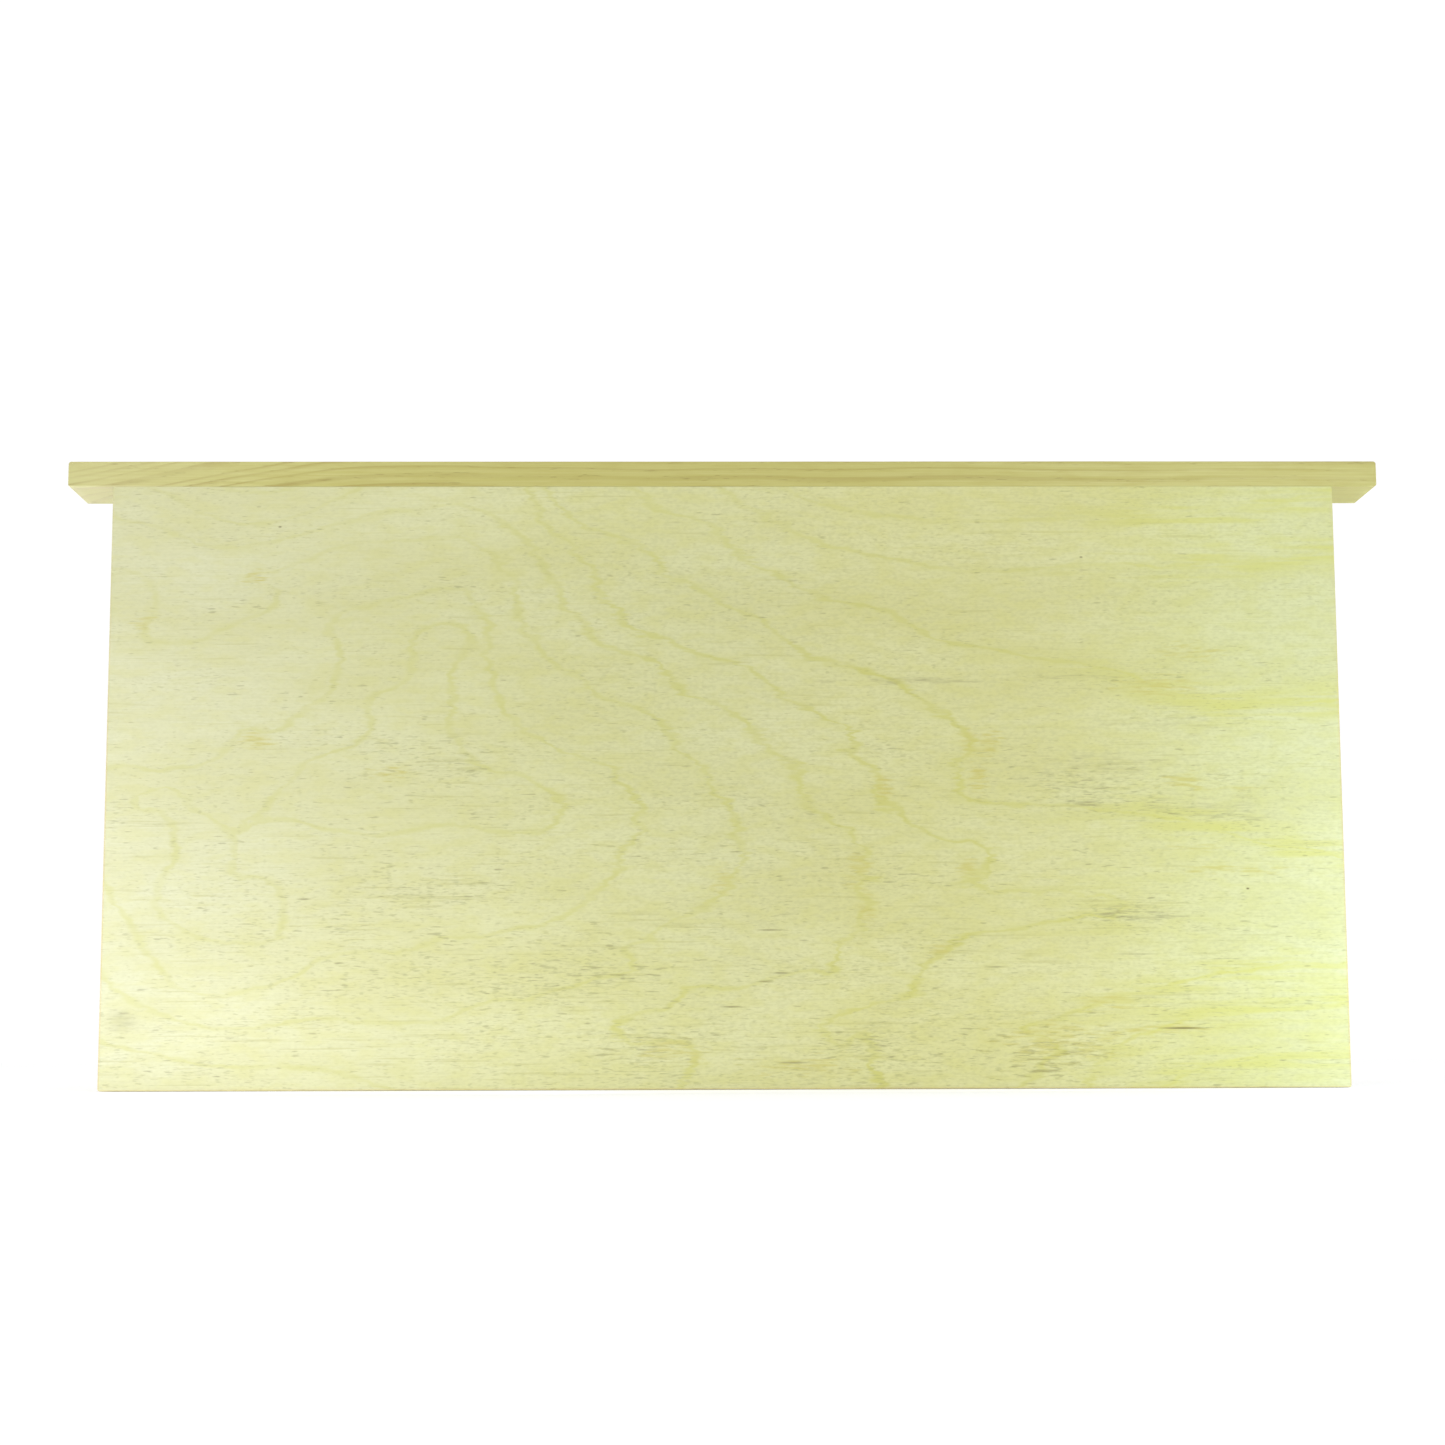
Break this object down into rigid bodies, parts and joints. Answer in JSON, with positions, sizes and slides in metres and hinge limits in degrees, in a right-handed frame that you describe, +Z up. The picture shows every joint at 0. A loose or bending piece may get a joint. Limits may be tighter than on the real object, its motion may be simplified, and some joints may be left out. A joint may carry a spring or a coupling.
{
  "type": "hive division board",
  "caption": "Solid division board for a beehive: a flat plywood panel hangs flush under one long side of a pine top bar whose ends stick out as lugs.",
  "frame": {"origin": "on the top bar's underside, the face that the lugs hang by, midway between the lugs and halfway through the bar's depth", "axes": "+Z up as the board hangs, +X along the top bar, -Y out of the side that the panel is flush with"},
  "size_m": [0.482, 0.03, 0.2295],
  "materials": {
    "pine_bar": "planed bare pine",
    "face_veneer": "sanded bare rotary-cut veneer",
    "back_veneer": "sanded bare rotary-cut veneer",
    "long_grain_ply": "sawn edge of bare veneer, side grain at the bottom edge",
    "cross_grain_ply": "sawn edge of bare veneer, end grain at the bottom edge",
    "nail_steel": "bright drawn wire"
  },
  "bodies": {
    "root": {"top_bar": "pine_bar", "front_face_veneer": "face_veneer", "front_crossband": "cross_grain_ply", "front_core_ply": "long_grain_ply", "centre_crossband": "cross_grain_ply", "back_core_ply": "long_grain_ply", "back_crossband": "cross_grain_ply", "back_face_veneer": "back_veneer", "top_bar_nails": "nail_steel"}
  },
  "joints": []
}
